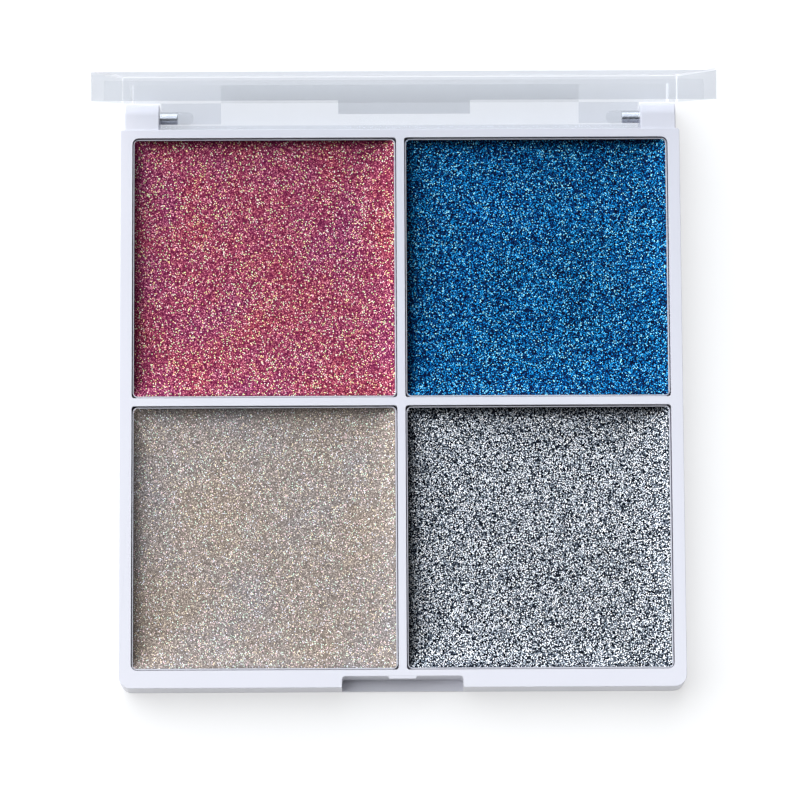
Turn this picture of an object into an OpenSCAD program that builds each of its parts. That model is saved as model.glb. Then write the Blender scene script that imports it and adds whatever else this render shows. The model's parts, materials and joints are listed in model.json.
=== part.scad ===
// Square four-pan eyeshadow palette with a clear hinged lid.
// The origin is the centre of the tray's underside, the hinge is at +Y and the thumb recess at -Y.
// The lid is drawn standing open and turns about the two steel pins.

/* [Tray] */
// Width of the tray from side to side
base_w = 80; // [60:0.5:110]
// Depth of the tray from front to back, without the hinge lugs
base_d = 80.3; // [60:0.1:110]
// Height of the tray
base_h = 6; // [5.4:0.1:9]
// Thickness of the floor under the wells
base_floor = 1.5; // [1:0.1:1.8]
// Width of the rim beside the wells, left and right
rim_side = 1.65; // [1.2:0.05:3]
// Width of the rim behind the wells
rim_rear = 1.15; // [0.8:0.05:3]
// Width of the rim in front of the wells, which the thumb recess cuts into
rim_front = 2.45; // [2:0.05:4]
// Thickness of the walls between the wells
divider = 1; // [0.8:0.05:2]
// Radius of the tray's front corners, seen from above
corner_front = 1.7; // [0.8:0.1:3]
// Radius of the tray's rear corners, seen from above
corner_rear = 0.3; // [0.2:0.1:1]
// Radius of the well corners at the tray's outer corners
well_corner_outer = 1.3; // [0.5:0.1:2]
// Radius of the well corners beside the dividers
well_corner_inner = 0.4; // [0.2:0.1:1]

/* [Thumb recess] */
// Width of the thumb recess in the front wall
recess_w = 17.1; // [12:0.1:24]
// Depth of the thumb recess, measured back from the front face
recess_depth = 1.6; // [1.3:0.02:2]
// Height of the ledge left under the thumb recess
recess_ledge = 0.8; // [0.5:0.1:1.5]
// Width of the catch bead where it meets the wall
bead_w = 4.5; // [3:0.1:6]
// How far the catch bead stands out from the wall
bead_proud = 0.4; // [0.2:0.05:0.5]
// Height of the catch bead
bead_h = 0.45; // [0.3:0.05:0.6]

/* [Hinge] */
// Distance from the tray's rear wall to the pin axis
pin_back = 2.1; // [1.8:0.02:2.8]
// Radius of the rounded lug end about the pin axis
lug_r = 1.95; // [1.6:0.01:2.4]
// Step from the rim down to the top of the lugs, which lets the open lid clear their backs
lug_step = 0.15; // [0.1:0.05:0.5]
// Width of each hinge lug
lug_w = 5.05; // [4:0.05:8]
// Step from the tray's side face in to the lug's outer face
lug_inset = 0.5; // [0.2:0.05:1.5]
// Diameter of the steel pins
pin_d = 1.8; // [1.2:0.05:2.2]
// Length of pin that reaches into the lid
pin_reach = 2.6; // [2:0.1:3.4]
// Depth of the pin's end below the lug's outer face
pin_sunk = 0.3; // [0.1:0.05:0.6]
// Radial clearance of the pin in the lid's bore
pin_fit = 0.05; // [0.02:0.01:0.1]
// Depth of the bore in the lid
bore_depth = 4.7; // [4:0.1:6]
// Angle between the closed lid and the lid as it stands open
open_angle = 77.5; // [0:0.5:90]

/* [Lid] */
// Height of the closed lid above the tray's rim
lid_h = 4.05; // [3.4:0.05:5.5]
// Thickness of the lid's top panel
lid_panel = 1.4; // [1:0.05:1.8]
// Thickness of the lid's side walls
lid_side = 1.6; // [1:0.05:2]
// Thickness of the lid's front wall
lid_front = 1.5; // [1.3:0.05:2]
// Thickness of the lid's wall above the tray's rear rim
lid_rear = 1.15; // [0.8:0.05:2]
// Thickness of the wall behind the cored-out knuckle
knuckle_wall = 1.2; // [0.9:0.05:1.4]
// Thickness of the lip along the underside of the cored-out knuckle
knuckle_lip = 0.95; // [0.7:0.05:1.2]
// Length of the solid knuckle block at each end of the hinge
knuckle_block = 8.7; // [7.5:0.1:12]
// Gap between the closed lid and the tray's rim
seat_gap = 0.05; // [0.03:0.01:0.15]
// Gap between the knuckle's end and the lug, and between the knuckle and the tray
knuckle_gap = 0.15; // [0.1:0.01:0.25]
// How far the thumb tab hangs below the rim
tab_drop = 1.7; // [1.4:0.1:2.5]
// Clearance around the thumb tab in its recess
tab_fit = 0.15; // [0.1:0.01:0.3]
// Clearance between the thumb tab and the catch bead
catch_fit = 0.08; // [0.06:0.01:0.12]
// Width of the catch pocket in the lid's front wall
catch_w = 7.1; // [5:0.1:10]
// Depth of the catch pocket into the lid's front wall
catch_depth = 0.3; // [0.2:0.05:0.5]

/* [Pans and shadows] */
// Gap between a pan and the walls of its well
pan_gap = 0.15; // [0.1:0.05:0.6]
// Depth of the pans' edges below the tray's rim
pan_below_rim = 0.3; // [0.1:0.05:0.6]
// Thickness of the pan metal
pan_wall = 0.25; // [0.2:0.05:0.6]
// Radius of the pans' corners, seen from above
pan_corner = 0.8; // [0.7:0.1:2]
// Depth of the shadow's edge below the pan's edge
fill_below_pan = 0.12; // [0.1:0.02:0.5]
// Depth of the shadow's middle below its edge
fill_dish = 0.8; // [0.2:0.05:1]
// Width of the raised border of the shadow
fill_border = 1.6; // [1:0.1:4]
// Thickness of the adhesive pad under each pan
glue_t = 0.2; // [0.1:0.05:0.4]
// Distance from a pan's edge in to its adhesive pad
glue_inset = 6.6; // [3:0.1:12]

/* [Label] */
// Distance from the tray's side faces in to the label
label_side = 10; // [5:0.5:25]
// Distance from the tray's front and rear faces in to the label
label_end = 25; // [5:0.5:28]
// Thickness of the underside label
label_t = 0.1; // [0.05:0.01:0.15]
// Depth of the label's recess in the underside
label_recess = 0.2; // [0.18:0.01:0.3]
// Gap between the label and the edge of its recess
label_gap = 0.5; // [0.3:0.1:1]

/* [Hidden] */
$fn = 48;
eps = 0.01;

white = [0.93, 0.94, 0.97];
steel = [0.72, 0.73, 0.75];
clear = [0.86, 0.88, 0.92, 0.35];

// Wells: two columns and two rows between the rims and the dividers
well_w = (base_w - 2 * rim_side - divider) / 2;
well_d = (base_d - rim_front - rim_rear - divider) / 2;
well_x = (well_w + divider) / 2;
well_mid_y = (rim_front - rim_rear) / 2;
well_y = (well_d + divider) / 2;

// Hinge: both pins lie on one axis behind and below the rim
pin_y = base_d / 2 + pin_back;
pin_z = base_h - lug_step - lug_r;
lug_outer = base_w / 2 - lug_inset;
lug_inner = lug_outer - lug_w;
knuckle_end = lug_inner - knuckle_gap;
knuckle_r = pin_back - knuckle_gap;
hinge_back = pin_y + lug_r;
bore_tip = knuckle_end - bore_depth;
core_half = knuckle_end - knuckle_block;

// Lid, drawn closed and then turned open
lid_z = base_h + seat_gap;
lid_top = base_h + lid_h;
lid_roof = lid_top - lid_panel;
tab_half = recess_w / 2 - tab_fit;
bead_front = -base_d / 2 + recess_depth - bead_proud;
tab_back = bead_front - catch_fit;
catch_sill = base_h - bead_h - 2 * catch_fit;

// Pans stand on the adhesive pads, and the shadows fill the pans
pan_z = base_floor + glue_t;
pan_top = base_h - pan_below_rim;
fill_top = pan_top - fill_below_pan;
pan_w = well_w - 2 * pan_gap;
pan_d = well_d - 2 * pan_gap;
fill_corner = pan_corner - pan_wall;

label_w = base_w - 2 * label_side;
label_d = base_d - 2 * label_end;

// Rectangle from (x0, y0) to (x1, y1) with radii in the order rear right, rear left, front left, front right
module corner_rect(x0, y0, x1, y1, radii) {
    corners = [[x1, y1, -1, -1], [x0, y1, 1, -1], [x0, y0, 1, 1], [x1, y0, -1, 1]];
    difference() {
        translate([x0, y0]) square([x1 - x0, y1 - y0]);
        for (i = [0:3]) {
            corner = corners[i];
            r = radii[i];
            into = [corner[2], corner[3]];
            difference() {
                translate([corner[0], corner[1]] + into * (r - eps) / 2) square(r + eps, center = true);
                translate([corner[0], corner[1]] + into * r) circle(r);
            }
        }
    }
}

// Outline of the tray and of the lid, which share it
module body_outline(back) {
    corner_rect(-base_w / 2, -base_d / 2, base_w / 2, back,
                [corner_rear, corner_rear, corner_front, corner_front]);
}

// Outline of the well in column sx and row sy, each -1 or 1, with its outer corner rounder
module well_outline(sx, sy) {
    mirror([1 - sx, 0, 0]) mirror([0, 1 - sy, 0]) translate([well_x, well_y])
        corner_rect(-well_w / 2, -well_d / 2, well_w / 2, well_d / 2,
                    [well_corner_outer, well_corner_inner, well_corner_inner, well_corner_inner]);
}

module rounded_square(w, d, r) {
    corner_rect(-w / 2, -d / 2, w / 2, d / 2, [r, r, r, r]);
}

// Outline drawn in the plane of Y and Z, swept along X from x0 to x1
module along_x(x0, x1) {
    translate([x0, 0, 0]) rotate([90, 0, 90]) linear_extrude(x1 - x0) children();
}

module pin_cylinder(x0, x1, r) {
    translate([x0, pin_y, pin_z]) rotate([0, 90, 0]) cylinder(h = x1 - x0, r = r);
}

// Hinge lug: upright at the back below the pin and round above it
module lug() {
    difference() {
        along_x(lug_inner, lug_outer) union() {
            translate([pin_y, pin_z]) circle(lug_r);
            translate([base_d / 2 - eps, 0]) square([pin_back + eps, pin_z + lug_r]);
            translate([pin_y - eps, 0]) square([lug_r + eps, pin_z]);
        }
        pin_cylinder(lug_inner - eps, lug_outer + eps, pin_d / 2);
    }
}

// Bead on the recess's rear wall, narrower at its front
module catch_bead() {
    translate([0, -base_d / 2 + recess_depth, base_h - bead_h]) linear_extrude(bead_h)
        polygon([[-bead_w / 2, eps], [bead_w / 2, eps],
                 [bead_w / 2 - bead_proud, -bead_proud], [-bead_w / 2 + bead_proud, -bead_proud]]);
}

module base() {
    color(white) {
        difference() {
            linear_extrude(base_h) body_outline(base_d / 2);
            translate([0, well_mid_y, base_floor]) linear_extrude(base_h)
                for (sx = [-1, 1], sy = [-1, 1]) well_outline(sx, sy);
            translate([-recess_w / 2, -base_d / 2 - eps, recess_ledge])
                cube([recess_w, recess_depth + eps, base_h]);
            translate([-label_w / 2 - label_gap, -label_d / 2 - label_gap, -eps])
                cube([label_w + 2 * label_gap, label_d + 2 * label_gap, label_recess + eps]);
        }
        catch_bead();
        lug();
        mirror([1, 0, 0]) lug();
    }
}

module hinge_pin() {
    color(steel) pin_cylinder(lug_inner - pin_reach, lug_outer - pin_sunk, pin_d / 2);
}

module hinge_pin_left() {
    mirror([1, 0, 0]) hinge_pin();
}

module hinge_pin_right() {
    hinge_pin();
}

// Knuckle: a barrel about the pin axis with a web up to the lid's plate
module knuckle() {
    along_x(-knuckle_end, knuckle_end) union() {
        translate([pin_y, pin_z]) circle(knuckle_r);
        translate([pin_y - knuckle_r, pin_z]) square([knuckle_r + lug_r, lid_z - pin_z + eps]);
    }
}

// Hollow between the knuckle blocks, which leaves the rear wall and a lip along the barrel
module knuckle_core() {
    core_z = pin_z - knuckle_r + knuckle_lip;
    translate([-core_half, pin_y - knuckle_r - eps, core_z])
        cube([2 * core_half, knuckle_r + lug_r - knuckle_wall + eps, lid_roof - core_z]);
}

// Bore for one pin, with the round end that its core leaves
module pin_bore() {
    bore_r = pin_d / 2 + pin_fit;
    pin_cylinder(bore_tip + bore_r, knuckle_end + eps, bore_r);
    translate([bore_tip + bore_r, pin_y, pin_z]) sphere(bore_r);
}

module thumb_tab() {
    translate([-tab_half, -base_d / 2, base_h - tab_drop])
        cube([2 * tab_half, tab_back + base_d / 2, tab_drop + seat_gap + eps]);
}

// Pocket that lets the tab pass the bead and leaves a sill under it
module catch_pocket() {
    translate([-catch_w / 2, tab_back - catch_depth, catch_sill])
        cube([catch_w, lid_front, lid_roof - catch_sill]);
}

module lid_closed() {
    difference() {
        union() {
            translate([0, 0, lid_z]) linear_extrude(lid_top - lid_z) body_outline(hinge_back);
            thumb_tab();
            knuckle();
        }
        translate([-base_w / 2 + lid_side, -base_d / 2 + lid_front, lid_z - eps])
            cube([base_w - 2 * lid_side, base_d - lid_front - lid_rear, lid_roof - lid_z + eps]);
        knuckle_core();
        pin_bore();
        mirror([1, 0, 0]) pin_bore();
        catch_pocket();
    }
}

module lid() {
    color(clear) translate([0, pin_y, pin_z]) rotate([-open_angle, 0, 0]) translate([0, -pin_y, -pin_z])
        lid_closed();
}

// Places its children at the middle of the well in column sx and row sy
module at_well(sx, sy) {
    translate([sx * well_x, well_mid_y + sy * well_y, 0]) children();
}

module pan(sx, sy) {
    color(steel) at_well(sx, sy) difference() {
        translate([0, 0, pan_z]) linear_extrude(pan_top - pan_z) rounded_square(pan_w, pan_d, pan_corner);
        translate([0, 0, pan_z + pan_wall]) linear_extrude(pan_top)
            rounded_square(pan_w - 2 * pan_wall, pan_d - 2 * pan_wall, fill_corner);
    }
}

module shadow(sx, sy, tint) {
    fill_z = pan_z + pan_wall;
    border = 2 * (pan_wall + fill_border);
    color(tint) at_well(sx, sy) difference() {
        translate([0, 0, fill_z]) linear_extrude(fill_top - fill_z)
            rounded_square(pan_w - 2 * pan_wall, pan_d - 2 * pan_wall, fill_corner);
        translate([0, 0, fill_top - fill_dish]) linear_extrude(fill_dish + eps)
            rounded_square(pan_w - border, pan_d - border, fill_corner);
    }
}

module glue(sx, sy) {
    color("Gainsboro") at_well(sx, sy) translate([0, 0, base_floor]) linear_extrude(glue_t)
        rounded_square(pan_w - 2 * glue_inset, pan_d - 2 * glue_inset, fill_corner);
}

module pan_rose() { pan(-1, 1); }
module pan_blue() { pan(1, 1); }
module pan_champagne() { pan(-1, -1); }
module pan_silver() { pan(1, -1); }

module shadow_rose() { shadow(-1, 1, [0.62, 0.25, 0.38]); }
module shadow_blue() { shadow(1, 1, [0.02, 0.22, 0.48]); }
module shadow_champagne() { shadow(-1, -1, [0.63, 0.57, 0.53]); }
module shadow_silver() { shadow(1, -1, [0.42, 0.45, 0.48]); }

module glue_rose() { glue(-1, 1); }
module glue_blue() { glue(1, 1); }
module glue_champagne() { glue(-1, -1); }
module glue_silver() { glue(1, -1); }

// Blank label stuck to the top of its recess
module label() {
    color("White") translate([-label_w / 2, -label_d / 2, label_recess - label_t])
        cube([label_w, label_d, label_t]);
}

base();
hinge_pin_left();
hinge_pin_right();
lid();
pan_rose();
pan_blue();
pan_champagne();
pan_silver();
shadow_rose();
shadow_blue();
shadow_champagne();
shadow_silver();
glue_rose();
glue_blue();
glue_champagne();
glue_silver();
label();
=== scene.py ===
import json
import math

import bmesh
import bpy
from mathutils import Matrix, Vector, noise


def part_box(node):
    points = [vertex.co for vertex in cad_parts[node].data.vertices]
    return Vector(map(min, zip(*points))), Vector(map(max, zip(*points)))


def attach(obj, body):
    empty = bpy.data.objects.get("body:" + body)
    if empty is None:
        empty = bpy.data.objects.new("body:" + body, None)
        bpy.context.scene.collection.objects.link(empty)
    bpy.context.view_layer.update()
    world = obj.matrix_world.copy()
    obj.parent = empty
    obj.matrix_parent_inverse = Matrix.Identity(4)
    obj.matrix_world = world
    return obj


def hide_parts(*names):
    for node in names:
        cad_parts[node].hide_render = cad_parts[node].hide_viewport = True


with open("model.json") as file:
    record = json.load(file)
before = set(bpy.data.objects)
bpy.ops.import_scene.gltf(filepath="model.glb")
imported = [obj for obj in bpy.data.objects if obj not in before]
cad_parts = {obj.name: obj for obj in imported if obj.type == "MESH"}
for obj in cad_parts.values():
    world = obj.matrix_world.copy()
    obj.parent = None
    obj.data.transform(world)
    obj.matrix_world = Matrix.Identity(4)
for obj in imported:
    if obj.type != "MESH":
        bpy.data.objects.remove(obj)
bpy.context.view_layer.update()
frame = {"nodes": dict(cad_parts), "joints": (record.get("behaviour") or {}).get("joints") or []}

# Tray
# The tray is one injection moulding in satin white styrene, with four square wells, two hinge
# lugs behind them, and a thumb recess with a catch bead in its front wall. It carries the rest.
MM = 0.001


class Finish:
    """A material under construction: its node tree, its shader, and short ways to add and join nodes."""

    def __init__(self, name, **settings):
        self.material = bpy.data.materials.new(name)
        self.material.use_nodes = True
        self.tree = self.material.node_tree
        self.shader = self.tree.nodes["Principled BSDF"]
        for socket, value in settings.items():
            self.shader.inputs[socket.replace("_", " ")].default_value = value

    def node(self, kind, inputs=None, **settings):
        return add_node(self.tree, kind, inputs, **settings)

    def wire(self, output, socket):
        self.tree.links.new(output, self.shader.inputs[socket])

    def bump(self, height, strength, distance):
        """Bumps the surface by a height. The distance is in metres."""
        bump = self.node("ShaderNodeBump", {"Height": height, "Strength": strength, "Distance": distance})
        self.wire(bump.outputs[0], "Normal")

    def coat_with(self, shader):
        """Puts a shader on the surface in place of the plain one."""
        self.tree.links.new(shader, self.tree.nodes["Material Output"].inputs["Surface"])

    def coordinates(self):
        return self.node("ShaderNodeTexCoord").outputs["Object"]


def add_node(tree, kind, inputs=None, **settings):
    """Adds a node. Inputs are values or other nodes' outputs, by name or number."""
    node = tree.nodes.new(kind)
    for name, value in settings.items():
        setattr(node, name, value)
    for name, value in (inputs or {}).items():
        if isinstance(value, bpy.types.NodeSocket):
            tree.links.new(value, node.inputs[name])
        else:
            node.inputs[name].default_value = value
    return node


def new_group(name, inputs, outputs):
    """A node group with its sockets made, and its input and output nodes."""
    group = bpy.data.node_groups.new(name, "ShaderNodeTree")
    for socket, kind, value in inputs:
        made = group.interface.new_socket(socket, in_out="INPUT", socket_type="NodeSocket" + kind)
        if value is not None:
            made.default_value = value
    for socket, kind in outputs:
        group.interface.new_socket(socket, in_out="OUTPUT", socket_type="NodeSocket" + kind)
    return group, group.nodes.new("NodeGroupInput"), group.nodes.new("NodeGroupOutput")


def mixed(tree, amount, first, second):
    """A colour between two colours, by an amount from 0 to 1."""
    first, second = (colour if isinstance(colour, bpy.types.NodeSocket) else (*colour, 1)
                     for colour in (first, second))
    return add_node(tree, "ShaderNodeMix", {0: amount, 6: first, 7: second}, data_type="RGBA").outputs[2]


def ranged(tree, value, low, high, from_low=0.0, from_high=1.0, **settings):
    """A value moved from one range to another."""
    inputs = {"Value": value, "From Min": from_low, "From Max": from_high, "To Min": low, "To Max": high}
    return add_node(tree, "ShaderNodeMapRange", inputs, **settings).outputs["Result"]


def mottled(tree, where, scale, detail=2.0, roughness=0.5):
    """A cloudy value from 0 to 1."""
    inputs = {"Vector": where, "Scale": scale, "Detail": detail, "Roughness": roughness}
    return add_node(tree, "ShaderNodeTexNoise", inputs).outputs[0]


def drawn_out(tree, where, scale, turn=0.0):
    """Coordinates turned and scaled, so that a pattern on them is drawn out into lines."""
    inputs = {"Vector": where, "Rotation": (0.0, 0.0, turn), "Scale": scale}
    return add_node(tree, "ShaderNodeMapping", inputs).outputs[0]


def maths(tree, operation, first, second):
    return add_node(tree, "ShaderNodeMath", {0: first, 1: second}, operation=operation).outputs[0]


def vector_maths(tree, operation, first, second):
    return add_node(tree, "ShaderNodeVectorMath", {0: first, 1: second}, operation=operation).outputs[0]


def in_millimetres(tree, where):
    return vector_maths(tree, "MULTIPLY", where, (1 / MM, 1 / MM, 1 / MM))


# Moulding grain is the faint unevenness that a polished mould leaves, with fine handling scratches.
grain, grain_in, grain_out = new_group(
    "moulding_grain",
    [("Coordinates", "Vector", None), ("Grain per mm", "Float", 3.0), ("Scratches", "Float", 0.5)],
    [("Height", "Float"), ("Wear", "Float"), ("Cloud", "Float")])
grain_mm = in_millimetres(grain, grain_in.outputs["Coordinates"])
pebble = mottled(grain, grain_mm, grain_in.outputs["Grain per mm"], 3.0, 0.6)
cloud = mottled(grain, grain_mm, 0.06)
streak = mottled(grain, drawn_out(grain, grain_mm, (0.6, 14.0, 1.0), turn=0.6), 1.0, 4.0)
scratch = maths(grain, "MULTIPLY", ranged(grain, streak, 0, 1, 0.62, 0.72), grain_in.outputs["Scratches"])
for output, socket in ((pebble, "Height"), (scratch, "Wear"), (cloud, "Cloud")):
    grain.links.new(output, grain_out.inputs[socket])


def add_grain(finish, per_mm, scratches, depth):
    """Places the moulding grain in a finish and bumps the surface with it. Gives the group node."""
    made = finish.node("ShaderNodeGroup", node_tree=grain)
    finish.tree.links.new(finish.coordinates(), made.inputs["Coordinates"])
    made.inputs["Grain per mm"].default_value = per_mm
    made.inputs["Scratches"].default_value = scratches
    finish.bump(made.outputs["Height"], depth, 0.02 * MM)
    return made


white_plastic = Finish("white_plastic", IOR=1.5, Specular_IOR_Level=0.5)
tray_grain = add_grain(white_plastic, 3.0, 0.12, 0.12)
clouded_white = mixed(white_plastic.tree, tray_grain.outputs["Cloud"],
                      (0.71, 0.712, 0.775), (0.755, 0.755, 0.815))
worn_white = mixed(white_plastic.tree, tray_grain.outputs["Wear"], clouded_white, (0.68, 0.70, 0.77))
white_plastic.wire(worn_white, "Base Color")
white_plastic.wire(ranged(white_plastic.tree, tray_grain.outputs["Height"], 0.26, 0.38), "Roughness")

# Shapes are drawn in millimetres. Two places closer than NEAR are the same place, edges that
# turn by less than LEAST_CORNER stay as they are, and a cutter runs past its face by OVERRUN.
NEAR = 0.01
LEAST_CORNER = math.radians(28)
OVERRUN = 1
BLOCK_CORNERS = ("rear right", "rear left", "front left", "front right")


def corners_mm(node):
    """A node's lowest and highest corners, in millimetres."""
    low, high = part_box(node)
    return low / MM, high / MM


def bevel(bm, edges, width, steps=3):
    bmesh.ops.bevel(bm, geom=edges, offset=width, offset_type="OFFSET", segments=steps, profile=0.5,
                    affect="EDGES", clamp_overlap=True, loop_slide=True, material=-1)


def edges_at(bm, chosen):
    """The edges with both ends where chosen(end) says yes."""
    return [e for e in bm.edges if all(chosen(v.co) for v in e.verts)]


def sharp_edges(bm, chosen=lambda a, b: True):
    """The edges between faces that meet at a corner, where chosen(end, end) says yes."""
    return [e for e in bm.edges if len(e.link_faces) == 2 and e.calc_face_angle() > LEAST_CORNER
            and chosen(e.verts[0].co, e.verts[1].co)]


def block(low, high, rounds=(0, 0, 0, 0), steps=6):
    """A block between two corners, with its uprights rounded in the order of BLOCK_CORNERS."""
    bm = bmesh.new()
    low, high = Vector(low), Vector(high)
    bmesh.ops.create_cube(bm, size=1)
    bmesh.ops.scale(bm, vec=high - low, verts=bm.verts)
    bmesh.ops.translate(bm, vec=(low + high) / 2, verts=bm.verts)
    places = ((high.x, high.y), (low.x, high.y), (low.x, low.y), (high.x, low.y))
    for (x, y), radius in zip(places, rounds):
        if radius:
            bevel(bm, edges_at(bm, lambda p: abs(p.x - x) + abs(p.y - y) < NEAR), radius, steps)
    return bm


def rod(x0, x1, y, z, radius, sides=40):
    """A round bar along X."""
    bm = bmesh.new()
    bmesh.ops.create_cone(bm, cap_ends=True, segments=sides, radius1=radius, radius2=radius, depth=x1 - x0)
    bmesh.ops.rotate(bm, matrix=Matrix.Rotation(math.pi / 2, 3, "Y"), verts=bm.verts)
    bmesh.ops.translate(bm, vec=((x0 + x1) / 2, y, z), verts=bm.verts)
    return bm


def held_shape(bm):
    """Puts a shape in the scene for as long as a cut needs it."""
    mesh = bpy.data.meshes.new("held_shape")
    bm.to_mesh(mesh)
    bm.free()
    held = bpy.data.objects.new("held_shape", mesh)
    bpy.context.scene.collection.objects.link(held)
    return held


def work(body, tools, operation):
    """Cuts the tools out of the body, or joins them on, and gives the new body."""
    for tool in tools:
        body_held, tool_held = held_shape(body), held_shape(tool)
        change = body_held.modifiers.new("change", "BOOLEAN")
        change.operation = operation
        change.solver = "EXACT"
        change.object = tool_held
        changed = body_held.evaluated_get(bpy.context.evaluated_depsgraph_get())
        body = bmesh.new()
        body.from_mesh(changed.to_mesh())
        changed.to_mesh_clear()
        for held in (body_held, tool_held):
            mesh = held.data
            bpy.data.objects.remove(held)
            bpy.data.meshes.remove(mesh)
    return body


def cut(body, *tools):
    return work(body, tools, "DIFFERENCE")


def tidy_faces(bm):
    """Merges the points that a cut left doubled, and the faces that lie in one plane."""
    bmesh.ops.remove_doubles(bm, verts=bm.verts, dist=1e-4)
    bmesh.ops.dissolve_limit(bm, angle_limit=math.radians(0.5), verts=bm.verts, edges=bm.edges)


def piece(bm, name, finish, body, slot, *nodes, smooth=30):
    """Makes a finished shape a piece that rides on a body and stands for its CAD nodes."""
    bmesh.ops.scale(bm, vec=(MM, MM, MM), verts=bm.verts)
    bmesh.ops.recalc_face_normals(bm, faces=bm.faces)
    mesh = bpy.data.meshes.new(name)
    bm.to_mesh(mesh)
    bm.free()
    mesh.polygons.foreach_set("use_smooth", [True] * len(mesh.polygons))
    mesh.set_sharp_from_angle(angle=math.radians(smooth))
    mesh.materials.append(finish.material)
    made = bpy.data.objects.new(name, mesh)
    bpy.context.scene.collection.objects.link(made)
    level = made.modifiers.new("even_shading", "WEIGHTED_NORMAL")
    level.keep_sharp = True
    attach(made, body)
    if nodes:
        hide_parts(*nodes)
    return made


tray_low, tray_high = corners_mm("base")
rim_z = tray_high.z
rim_wall = 1.65
front_corner = 1.7
rear_corner = 0.3
outer_rim_round = 0.3
well_rim_round = 0.16
wall_round = 0.15
lug_radius = 1.95
hinge_gap = 0.15
tray_rear = tray_high.y - 2 * lug_radius - hinge_gap
well_gap = 0.08
well_floor = 1.5
well_corner = 0.4
outer_well_corner = 0.9
recess_half = 8.55
recess_depth = 1.6
recess_ledge = 0.8
recess_corner = 0.5
recess_back = tray_low.y + recess_depth
label_low, label_high = corners_mm("label")
label_gap = 0.5
label_recess_depth = 0.2


def on_rim(a, b):
    return min(a.z, b.z) > rim_z - NEAR


def round_the_outside(a, b):
    """Whether an edge of the rim runs round the tray's outside or the thumb recess, and not a well."""
    slack = 0.1

    def outside(p):
        in_recess = abs(p.x) < recess_half + NEAR and p.y < recess_back + NEAR
        by_side = abs(abs(p.x) - tray_high.x) < front_corner + slack
        return by_side or p.y > tray_rear - rear_corner - slack or p.y < tray_low.y + NEAR or in_recess

    def among_wells(p):
        return abs(p.x) < tray_high.x - rim_wall + slack and recess_back + slack < p.y < tray_rear - 1

    return on_rim(a, b) and outside(a) and outside(b) and not (among_wells(a) and among_wells(b))


wells = []
for tint in ("rose", "blue", "champagne", "silver"):
    low, high = corners_mm("pan_" + tint)
    place = ("rear " if high.y > tray_rear / 2 else "front ") + ("left" if low.x < 0 else "right")
    rounds = [outer_well_corner if corner == place else well_corner for corner in BLOCK_CORNERS]
    wells.append(block((low.x - well_gap, low.y - well_gap, well_floor),
                       (high.x + well_gap, high.y + well_gap, rim_z + OVERRUN), rounds, steps=5))
thumb_recess = block((-recess_half, tray_low.y - OVERRUN, recess_ledge),
                     (recess_half, recess_back, rim_z + OVERRUN),
                     (recess_corner, recess_corner, 0, 0), steps=4)
label_recess = block((label_low.x - label_gap, label_low.y - label_gap, -OVERRUN),
                     (label_high.x + label_gap, label_high.y + label_gap, label_recess_depth))
tray = block((tray_low.x, tray_low.y, 0), (tray_high.x, tray_rear, rim_z),
             (rear_corner, rear_corner, front_corner, front_corner))
tray = cut(tray, *wells, thumb_recess, label_recess)
tidy_faces(tray)
bevel(tray, sharp_edges(tray, round_the_outside), outer_rim_round, 4)
bevel(tray, sharp_edges(tray, on_rim), well_rim_round, 3)
bevel(tray, sharp_edges(tray, lambda a, b: abs(a.z - well_floor) > NEAR or abs(b.z - well_floor) > NEAR),
      wall_round, 2)
piece(tray, "tray", white_plastic, "tray", "white_plastic", "base")

# Tray's lugs and catch bead
# These stand on the tray and are moulded in one with it, of the same white styrene. The lugs
# are rounded behind, so that the lid's knuckle can turn past them.
lug_width = 5.05
lug_inset = 0.5
lug_step = 0.15
lug_root = 0.3
lug_round = 0.22
bore_surround = 1.2
lug_outer = tray_high.x - lug_inset
for side, name in ((-1, "tray_lug_left"), (1, "tray_lug_right")):
    left, right = sorted((side * lug_outer, side * (lug_outer - lug_width)))
    lug = block((left, tray_rear - lug_root, 0), (right, tray_high.y, rim_z - lug_step))
    top_rear = edges_at(lug, lambda p: p.y > tray_high.y - NEAR and p.z > rim_z - lug_step - NEAR)
    bevel(lug, top_rear, lug_radius, 14)
    pin_low, pin_high = corners_mm("hinge_pin_left" if side < 0 else "hinge_pin_right")
    pin_y, pin_z = (pin_low.y + pin_high.y) / 2, (pin_low.z + pin_high.z) / 2
    lug = cut(lug, rod(left - OVERRUN, right + OVERRUN, pin_y, pin_z, (pin_high.z - pin_low.z) / 2))
    tidy_faces(lug)
    outline = sharp_edges(lug, lambda a, b: abs(a.x - b.x) < NEAR and
                          (a.yz - Vector((pin_y, pin_z))).length > bore_surround)
    bevel(lug, outline, lug_round)
    piece(lug, name, white_plastic, "tray", "white_plastic")

bead_half = 2.25
bead_proud = 0.4
bead_height = 0.45
bead_root = 0.3
bead_drop = 0.02
bead_round = 0.12
bead = block((-bead_half, recess_back - bead_proud, rim_z - bead_height),
             (bead_half, recess_back + bead_root, rim_z - bead_drop))
for corner in bead.verts:
    if corner.co.y < recess_back:
        corner.co.x *= (bead_half - bead_proud) / bead_half
bevel(bead, [e for e in bead.edges if any(v.co.y < recess_back for v in e.verts)], bead_round)
piece(bead, "catch_bead", white_plastic, "tray", "white_plastic")

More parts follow.
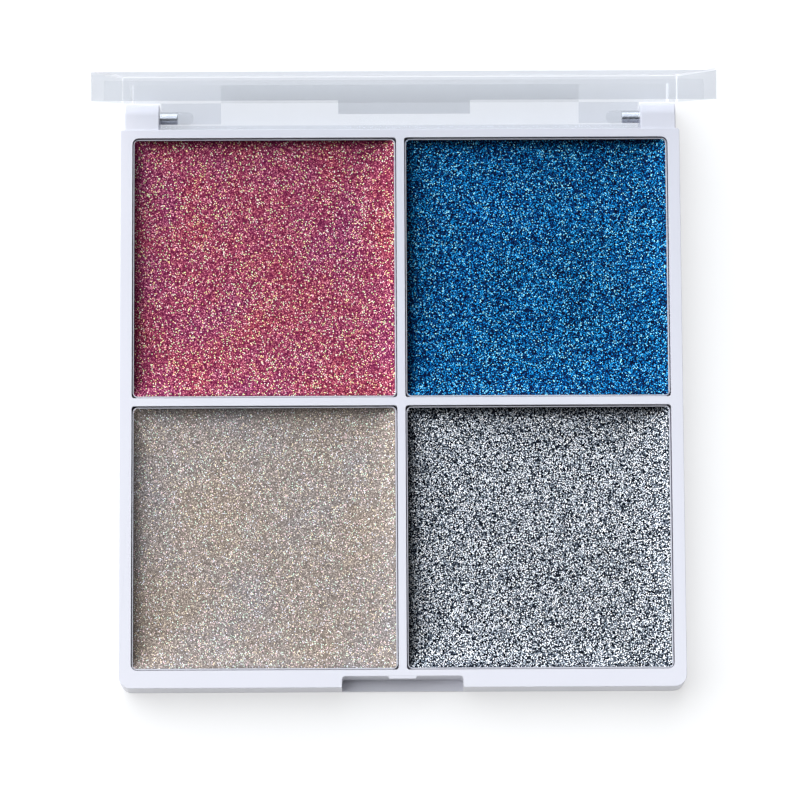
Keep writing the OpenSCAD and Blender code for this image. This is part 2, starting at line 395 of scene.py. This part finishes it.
# Hinge pins
# Two lengths of bright drawn steel wire with broken ends. Each is pressed into its lug and
# reaches into a bore in the lid, which turns on it.
pin_chamfer = 0.15
steel = Finish("bright_steel", Metallic=1.0)
drawn_wire = drawn_out(steel.tree, steel.coordinates(), (300.0, 9000.0, 9000.0))
draw_lines = mottled(steel.tree, drawn_wire, 1.0, 4.0)
steel.wire(mixed(steel.tree, draw_lines, (0.60, 0.61, 0.63), (0.86, 0.87, 0.88)), "Base Color")
steel.wire(ranged(steel.tree, draw_lines, 0.12, 0.34), "Roughness")
steel.bump(draw_lines, 0.2, 0.01 * MM)
for name in ("hinge_pin_left", "hinge_pin_right"):
    low, high = corners_mm(name)
    pin = rod(low.x, high.x, (low.y + high.y) / 2, (low.z + high.z) / 2, (high.z - low.z) / 2)
    bevel(pin, sharp_edges(pin), pin_chamfer)
    piece(pin, name.replace("hinge_", "steel_"), steel, "tray", "steel", name)


# Adhesive pads
# Each pan is stuck down in its well on a thin square of double-sided adhesive, cut from sheet.
# The pads are plain and keep their own shapes.
def refinish(node, finish):
    """Gives a carried-over CAD node its finish."""
    node.data.materials.clear()
    node.data.materials.append(finish.material)


adhesive = Finish("adhesive_pad", Roughness=0.6)
tack = mottled(adhesive.tree, adhesive.coordinates(), 900.0, 3.0)
adhesive.wire(mixed(adhesive.tree, tack, (0.72, 0.71, 0.66), (0.86, 0.85, 0.82)), "Base Color")
for tint in ("rose", "blue", "champagne", "silver"):
    refinish(frame["nodes"]["glue_" + tint], adhesive)

# Pans
# Each pan is pressed from thin bright aluminium sheet, with a soft bottom edge and a rounded
# rim. It sits in its well on an adhesive pad.
pan_wall = 0.25
pan_corner = 0.8
pan_inner_corner = 0.55
pan_foot_round = 0.45
pan_rim_round = 0.09
rim_drop = 0.12
pan_metal = Finish("pan_metal", Metallic=1.0)
rolled_sheet = drawn_out(pan_metal.tree, pan_metal.coordinates(), (400.0, 6000.0, 400.0))
roll_lines = mottled(pan_metal.tree, rolled_sheet, 1.0, 5.0)
pan_metal.wire(mixed(pan_metal.tree, roll_lines, (0.36, 0.36, 0.40), (0.52, 0.52, 0.56)), "Base Color")
pan_metal.wire(ranged(pan_metal.tree, roll_lines, 0.35, 0.55), "Roughness")
pan_metal.bump(roll_lines, 0.15, 0.01 * MM)
for tint in ("rose", "blue", "champagne", "silver"):
    low, high = corners_mm("pan_" + tint)
    pan_rim = high.z - rim_drop
    pan = block(low, (high.x, high.y, pan_rim), [pan_corner] * 4)
    bevel(pan, sharp_edges(pan, lambda a, b: max(a.z, b.z) < low.z + NEAR), pan_foot_round, 4)
    inside = block((low.x + pan_wall, low.y + pan_wall, low.z + pan_wall),
                   (high.x - pan_wall, high.y - pan_wall, high.z + OVERRUN), [pan_inner_corner] * 4)
    pan = cut(pan, inside)
    tidy_faces(pan)
    bevel(pan, sharp_edges(pan, lambda a, b: min(a.z, b.z) > pan_rim - NEAR), pan_rim_round)
    piece(pan, "metal_pan_" + tint, pan_metal, "tray", "pan_metal", "pan_" + tint)

# Cream shadows
# Each shadow is a wax cream poured hot into its pan. It climbs the wall in a hollow curve as it
# sets, and is full of fine polyester glitter that lies at all angles in the surface.
glitter, glitter_in, glitter_out = new_group(
    "glitter_flakes",
    [("Coordinates", "Vector", None), ("Flakes per mm", "Float", 5.0), ("Size", "Float", 0.45),
     ("Tilt", "Float", 0.4)],
    [("Flake", "Float"), ("Tint", "Float"), ("Shine", "Float"), ("Normal", "Vector")])
flake_cells = add_node(glitter, "ShaderNodeTexVoronoi",
                       {"Vector": in_millimetres(glitter, glitter_in.outputs["Coordinates"]),
                        "Scale": glitter_in.outputs["Flakes per mm"]}, voronoi_dimensions="2D")
lots = add_node(glitter, "ShaderNodeSeparateColor", {"Color": flake_cells.outputs["Color"]})
more_lots = add_node(glitter, "ShaderNodeTexWhiteNoise", {"Vector": flake_cells.outputs["Color"]})
is_flake = maths(glitter, "LESS_THAN", flake_cells.outputs["Distance"], glitter_in.outputs["Size"])
lean = vector_maths(glitter, "SUBTRACT", more_lots.outputs["Color"], (0.5, 0.5, 0.5))
for amount in (glitter_in.outputs["Tilt"], is_flake):
    lean = add_node(glitter, "ShaderNodeVectorMath", {0: lean, "Scale": amount}, operation="SCALE").outputs[0]
surface = add_node(glitter, "ShaderNodeNewGeometry").outputs["Normal"]
leaning = add_node(glitter, "ShaderNodeVectorMath", {0: vector_maths(glitter, "ADD", surface, lean)},
                   operation="NORMALIZE").outputs[0]
for output, socket in ((is_flake, "Flake"), (lots.outputs[1], "Tint"), (lots.outputs[2], "Shine"),
                       (leaning, "Normal")):
    glitter.links.new(output, glitter_out.inputs[socket])


def spread_colours(ramp, colours, end):
    """Sets a ramp's colours at even steps from 0 to end."""
    for i, colour in enumerate(colours):
        if i > 1:
            ramp.elements.new(1.0)
        ramp.elements[i].color = (*colour, 1)
    for i in range(len(colours)):
        ramp.elements[i].position = i * end / (len(colours) - 1)


def cream_finish(name, bed, flake_colours_and_sparkle, painted_glint_colours, warm, cool, painted_glints, pearl, per_mm=6.5):
    """A coloured cream bed full of flakes. Their colours run from near black to bright, partly their own tint
    and partly painted sparkle for flakes that catch the light, and a share take a painted glint.
    """
    finish = Finish(name, Specular_IOR_Level=0.2)
    tree = finish.tree
    where = finish.coordinates()
    flakes = finish.node("ShaderNodeGroup", {"Coordinates": where, "Flakes per mm": per_mm, "Tilt": 0.22},
                         node_tree=glitter)
    flake, tint, shine = (flakes.outputs[socket] for socket in ("Flake", "Tint", "Shine"))
    # Each flake's colour runs from near black to bright by a random lot: partly its own tint, partly painted
    # sparkle for whether it catches the light.
    painted_sparkle = finish.node("ShaderNodeValToRGB", {0: shine})
    spread_colours(painted_sparkle.color_ramp, flake_colours_and_sparkle, 0.9)
    painted_glint_hues = finish.node("ShaderNodeValToRGB", {0: tint})
    painted_glint_hues.color_ramp.interpolation = "CONSTANT"
    spread_colours(painted_glint_hues.color_ramp, painted_glint_colours, 0.75)
    cloudiness = ranged(tree, mottled(tree, where, 110.0, 3.0, 0.6), 0, 1, 0.35, 0.65)
    clouded = vector_maths(tree, "MULTIPLY", mixed(tree, flake, bed, painted_sparkle.outputs[0]),
                           mixed(tree, cloudiness, warm, cool))
    # A share of the flakes take a near-white or strongly tinted colour: painted glints.
    takes_painted_glint = maths(tree, "MULTIPLY", maths(tree, "GREATER_THAN", shine, 1 - painted_glints), flake)
    finish.wire(mixed(tree, takes_painted_glint, clouded, painted_glint_hues.outputs[0]), "Base Color")
    finish.wire(ranged(tree, flake, pearl * 0.8, pearl), "Metallic")
    finish.wire(ranged(tree, shine, 0.44, 0.30), "Roughness")
    finish.wire(flakes.outputs["Normal"], "Normal")
    return finish


# The brightest flake colours and all the glint colours are painted sparkle and painted glints, over each
# cream's own tint.
shadow_finishes = {
    "rose": cream_finish(
        "rose_glitter_cream", (0.13, 0.010, 0.04),
        ((0.04, 0.0, 0.012), (0.20, 0.018, 0.065), (0.36, 0.062, 0.12), (0.78, 0.27, 0.29)),
        ((1.0, 0.75, 0.35), (1.0, 0.42, 0.50), (0.70, 0.85, 0.45), (1.0, 0.85, 0.75)),
        warm=(1.1, 1.05, 0.85), cool=(0.93, 0.97, 1.18), painted_glints=0.14, pearl=0.8, per_mm=6.0),
    "blue": cream_finish(
        "blue_glitter_cream", (0.0, 0.002, 0.02),
        ((0.0, 0.0, 0.002), (0.0, 0.012, 0.06), (0.0, 0.085, 0.29), (0.01, 0.36, 0.80)),
        ((0.08, 0.50, 0.90), (0.02, 0.35, 0.75), (0.35, 0.85, 1.0), (0.15, 0.60, 0.95)),
        warm=(1.0, 0.95, 0.9), cool=(1.0, 1.1, 1.15), painted_glints=0.16, pearl=0.92, per_mm=6.0),
    "champagne": cream_finish(
        "champagne_glitter_cream", (0.19, 0.162, 0.146),
        ((0.08, 0.065, 0.06), (0.20, 0.172, 0.156), (0.32, 0.278, 0.252), (0.66, 0.58, 0.53)),
        ((0.95, 0.80, 0.55), (0.95, 0.68, 0.70), (0.70, 0.90, 0.72), (0.85, 0.85, 0.95)),
        warm=(1.06, 1.0, 0.92), cool=(0.96, 1.0, 1.08), painted_glints=0.13, pearl=0.6),
    "silver": cream_finish(
        "silver_glitter_cream", (0.0, 0.001, 0.003),
        ((0.0, 0.0, 0.0), (0.015, 0.02, 0.035), (0.3, 0.35, 0.41), (0.95, 0.97, 1.0)),
        ((0.95, 0.97, 1.0), (0.85, 0.90, 0.95), (1.0, 1.0, 1.0), (0.90, 0.94, 1.0)),
        warm=(0.95, 0.95, 0.95), cool=(1.05, 1.05, 1.05), painted_glints=0.28, pearl=0.92, per_mm=6.2),
}
climb_height, short_climb, long_climb = 1.1, 0.6, 2.9
ripple = 0.012
corner_radius = 0.55
lip_over, lip_deep = 0.17, 0.1
for tint, finish in shadow_finishes.items():
    low, high = corners_mm("shadow_" + tint)
    middle, half = (low + high) / 2, (high - low) / 2
    half += Vector((lip_over, lip_over, 0))
    arc = corner_radius + lip_over
    cream = bmesh.new()
    bmesh.ops.create_grid(cream, x_segments=88, y_segments=88, size=1)
    rim = [e for e in cream.edges if e.is_boundary]
    for point in cream.verts:
        # The grid's lines crowd towards the walls, where the surface curves most.
        crowded = [0.5 * point.co[i] + 0.5 * math.sin(point.co[i] * math.pi / 2) for i in (0, 1)]
        across, along = half.x * crowded[0], half.y * crowded[1]
        in_x, in_y = half.x - abs(across), half.y - abs(along)
        past = Vector((max(arc - in_x, 0), max(arc - in_y, 0)))
        if past.length > arc:
            kept = past * arc / past.length
            across -= math.copysign(past.x - kept.x, across)
            along -= math.copysign(past.y - kept.y, along)
        climbs = [0.35 * math.exp(-inward / short_climb) + 0.65 * math.exp(-inward / long_climb)
                  for inward in (in_x, in_y)]
        rise = min((climbs[0] ** 3 + climbs[1] ** 3) ** (1 / 3), 1)
        x, y = middle.x + across, middle.y + along
        fall = climb_height + ripple * (1 + noise.noise((x, y, 0.0)))
        point.co = (x, y, high.z - fall * (1 - rise))
    # Down the lip's face, in under the lip to the pan's wall, and down the wall to the pan's floor.
    for inward, depth in ((0, high.z - lip_deep), (lip_over, high.z - lip_deep), (0, low.z)):
        made = bmesh.ops.extrude_edge_only(cream, edges=rim)["geom"]
        for point in made:
            if isinstance(point, bmesh.types.BMVert):
                point.co.z = depth
                for i in (0, 1):
                    offset = point.co[i] - middle[i]
                    point.co[i] = middle[i] + offset * (1 - inward / half[i])
        rim = [e for e in made if isinstance(e, bmesh.types.BMEdge) and e.is_boundary]
    bmesh.ops.holes_fill(cream, edges=rim)
    piece(cream, "cream_" + tint, finish, "tray", "shadow_" + tint, "shadow_" + tint, smooth=50)

# Label
# A blank label of matt white paper with a self-adhesive back. It is stuck in a shallow recess
# in the underside, so the tray stands on the face around it.
paper = Finish("label_paper", Roughness=0.85)
fibres = mottled(paper.tree, paper.coordinates(), 2500.0, 5.0)
paper.wire(mixed(paper.tree, fibres, (0.80, 0.79, 0.76), (0.93, 0.93, 0.91)), "Base Color")
paper.bump(fibres, 0.3, 0.03 * MM)
refinish(frame["nodes"]["label"], paper)

# Lid
# The lid is one moulding in clear styrene. Its plate has side walls, a hinge barrel cored out
# between two end blocks, a thumb tab and a catch pocket. It stands open on the steel pins.
clear_plastic = Finish("clear_plastic", IOR=1.57, Transmission_Weight=0.4, Emission_Strength=1.0)
lid_grain = add_grain(clear_plastic, 1.2, 0.6, 0.05)
edge_mark, skin_mark = "edge", "skin"
rounded = clear_plastic.node("ShaderNodeAttribute", attribute_name=edge_mark).outputs["Fac"]
outside = clear_plastic.node("ShaderNodeAttribute", attribute_name=skin_mark).outputs["Fac"]
# The rounded edges are painted white and glow faintly by emission: painted highlight lines along the lid. The
# other faces get a grey colour, painted shade.
clear_plastic.wire(mixed(clear_plastic.tree, rounded, (0.50, 0.52, 0.56), (1.0, 1.0, 1.0)), "Base Color")
clear_plastic.wire(mixed(clear_plastic.tree, rounded, (0, 0, 0), (0.3, 0.3, 0.31)), "Emission Color")
worn = maths(clear_plastic.tree, "MAXIMUM", lid_grain.outputs["Wear"], rounded)
clear_plastic.wire(ranged(clear_plastic.tree, worn, 0.03, 0.3), "Roughness")

# Most light goes straight through. The outer faces tint it grey as painted shade, and the rounded edges stop
# most of it, so that their painted highlight shows.
# The grey tint on light passing the outer faces is painted shade, for the grey that reflections lend the
# clear styrene; the inner faces pass it nearly clear.
painted_grey_tint = mixed(clear_plastic.tree, outside, (0.985, 0.988, 0.99), (0.83, 0.845, 0.872))
straight_through = clear_plastic.node("ShaderNodeBsdfTransparent", {"Color": painted_grey_tint}).outputs[0]
shadow_ray = clear_plastic.node("ShaderNodeLightPath").outputs["Is Shadow Ray"]
passed_share = maths(clear_plastic.tree, "MAXIMUM", shadow_ray,
                     ranged(clear_plastic.tree, rounded, 0.94, 0.3))
clear_plastic.coat_with(clear_plastic.node("ShaderNodeMixShader", {
    0: passed_share, 1: clear_plastic.shader.outputs[0], 2: straight_through}).outputs[0])

hinge = frame["joints"][0]
axis_y, axis_z = hinge["pos_m"][1] / MM, hinge["pos_m"][2] / MM
open_angle = -hinge["range_deg"][0]
lid_gap, lid_height, plate_thickness = 0.05, 4.0, 1.4
lid_z = rim_z + lid_gap
lid_top = lid_z + lid_height
lid_roof = lid_top - plate_thickness
lid_front = tray_low.y
lid_rear = axis_y + lug_radius
side_wall, front_wall, rear_wall = 1.6, 1.5, 1.15
hollow_rear_corner, hollow_front_corner = 0.5, 0.8
knuckle_end = lug_outer - lug_width - hinge_gap
end_block = 8.7
core_half = knuckle_end - end_block
core_floor, core_rear = 0.95, 1.2
barrel_low = axis_z - lug_radius
barrel_foot = 0.3
bore_radius, bore_depth = 0.95, 4.7
bore_tip = knuckle_end - bore_depth
tab_gap, bead_gap, tab_drop = 0.15, 0.08, 1.7
tab_half = recess_half - tab_gap
tab_back = recess_back - bead_proud - bead_gap
pocket_half, pocket_drop, pocket_roof = 3.55, 0.61, 0.02
pocket_into_tab, pocket_behind_tab = 0.3, 1.2
joint_overlap = 0.5
top_round, lid_round = 0.35, 0.16


def join(body, *tools):
    return work(body, tools, "UNION")


def from_axis(place):
    return math.hypot(place.y - axis_y, place.z - axis_z)


barrel = block((-knuckle_end, axis_y - lug_radius, barrel_low),
               (knuckle_end, lid_rear, lid_z + joint_overlap))
undersides = [e for e in edges_at(barrel, lambda p: p.z < barrel_low + NEAR)
              if abs(e.verts[0].co.x - e.verts[1].co.x) > NEAR]
bevel(barrel, undersides, lug_radius - 0.002, 14)
tab = block((-tab_half, lid_front, rim_z - tab_drop), (tab_half, tab_back, lid_z + joint_overlap))
lid = block((tray_low.x, lid_front, lid_z), (tray_high.x, lid_rear, lid_top),
            (rear_corner, rear_corner, front_corner, front_corner))
lid = join(lid, barrel, tab)

hollow_box = ((tray_low.x + side_wall, lid_front + front_wall, lid_z - OVERRUN),
              (tray_high.x - side_wall, tray_rear - rear_wall, lid_roof))
core_box = ((-core_half, axis_y - lug_radius - OVERRUN, barrel_low + core_floor),
            (core_half, lid_rear - core_rear, lid_roof))
pocket_box = ((-pocket_half, tab_back - pocket_into_tab, rim_z - pocket_drop),
              (pocket_half, tab_back + pocket_behind_tab, lid_roof - pocket_roof))
bores = []
for side in (-1, 1):
    left, right = sorted((side * bore_tip, side * (knuckle_end + OVERRUN)))
    bore = rod(left, right, axis_y, axis_z, bore_radius)
    bevel(bore, edges_at(bore, lambda p: abs(p.x - side * bore_tip) < NEAR), bore_radius * 0.9, 6)
    bores.append(bore)
hollow_corners = (hollow_rear_corner, hollow_rear_corner, hollow_front_corner, hollow_front_corner)
lid = cut(lid, block(*hollow_box, hollow_corners), block(*core_box), block(*pocket_box), *bores)
tidy_faces(lid)
bevel(lid, sharp_edges(lid, lambda a, b: min(a.z, b.z) > lid_top - NEAR), top_round, 4)
others = sharp_edges(lid, lambda a, b: max(a.z, b.z) > barrel_low + barrel_foot and
                     (from_axis(a) > bore_surround or abs(a.x) < bore_tip))
bevel(lid, others, lid_round, 2)


# Each face is marked as a rounded edge, as part of the outer skin, or as neither. Rounded edges are
# narrow and slanted. The walls of the hollow, the core, the pocket and the bores aren't skin.
wall_slack, barrel_slack = 0.02, 0.12
narrowest_flat = 0.2
straightest_edge = 0.99


def in_box(place, box):
    return all(low - wall_slack < at < high + wall_slack for low, at, high in zip(box[0], place, box[1]))


edge, skin = (lid.faces.layers.float.new(mark) for mark in (edge_mark, skin_mark))
for face in lid.faces:
    centre = face.calc_center_median()
    reach = from_axis(centre)
    in_bore = reach < bore_radius + wall_slack
    on_barrel = abs(reach - lug_radius) < barrel_slack and centre.z < rim_z
    inside = in_bore or any(in_box(centre, box) for box in (hollow_box, core_box, pocket_box))
    narrow = min(side.calc_length() for side in face.edges) < narrowest_flat
    slanted = max(map(abs, face.normal)) < straightest_edge
    face[edge] = float(narrow and slanted and not on_barrel and not in_bore)
    face[skin] = float(not inside and not face[edge])
bmesh.ops.rotate(lid, cent=(0, axis_y, axis_z), matrix=Matrix.Rotation(math.radians(-open_angle), 3, "X"),
                 verts=lid.verts)
piece(lid, "clear_lid", clear_plastic, "lid", "clear_plastic", "lid")

# Table and light
# The palette lies on a plain white table with a little light of its own. All other light comes
# from a dome of pale silk, brightest high at the rear left and dark at the front right.
table_paint = Finish("table_paint", Roughness=0.9, Emission_Color=(1, 1, 1, 1), Emission_Strength=0.52)
speckle = mottled(table_paint.tree, table_paint.coordinates(), 40.0)
table_paint.wire(mixed(table_paint.tree, speckle, (0.50, 0.50, 0.50), (0.52, 0.52, 0.52)), "Base Color")

# Seen from below the table is clear, so that the underside shows.
table_paint.coat_with(table_paint.node("ShaderNodeMixShader", {
    0: table_paint.node("ShaderNodeNewGeometry").outputs["Backfacing"],
    1: table_paint.shader.outputs[0],
    2: table_paint.node("ShaderNodeBsdfTransparent").outputs[0]}).outputs[0])
table_bm = bmesh.new()
bmesh.ops.create_grid(table_bm, x_segments=4, y_segments=4, size=2)
table_mesh = bpy.data.meshes.new("table")
table_bm.to_mesh(table_mesh)
table_bm.free()
table_mesh.materials.append(table_paint.material)
table = bpy.data.objects.new("table", table_mesh)
bpy.context.scene.collection.objects.link(table)

silk_middle = (-0.46, 0.56, 0.69)
silk_dark, silk_bright = 0.02, 3.1
dome = bpy.data.worlds.new("silk_dome")
dome.use_nodes = True
background = dome.node_tree.nodes["Background"]
heading = add_node(dome.node_tree, "ShaderNodeTexCoord").outputs["Generated"]
towards = add_node(dome.node_tree, "ShaderNodeVectorMath", {0: heading, 1: silk_middle},
                   operation="DOT_PRODUCT").outputs["Value"]
silk = ranged(dome.node_tree, towards, silk_dark, silk_bright, 0.33, 1.0, interpolation_type="SMOOTHSTEP")
dome.node_tree.links.new(silk, background.inputs["Strength"])
background.inputs["Color"].default_value = (0.95, 0.97, 1.0, 1)
bpy.context.scene.world = dome

camera = bpy.data.cameras.new("camera")
camera.sensor_width = 36
camera.lens = 231.66
camera.clip_start, camera.clip_end = 0.01, 10
camera_object = bpy.data.objects.new("camera", camera)
camera_object.location = (-0.00497, -0.11901, 0.72660)
camera_object.rotation_euler = (math.radians(9.4427), math.radians(-0.3302), math.radians(-0.2958))
bpy.context.scene.collection.objects.link(camera_object)
bpy.context.scene.camera = camera_object
bpy.context.scene.view_settings.view_transform = "Standard"
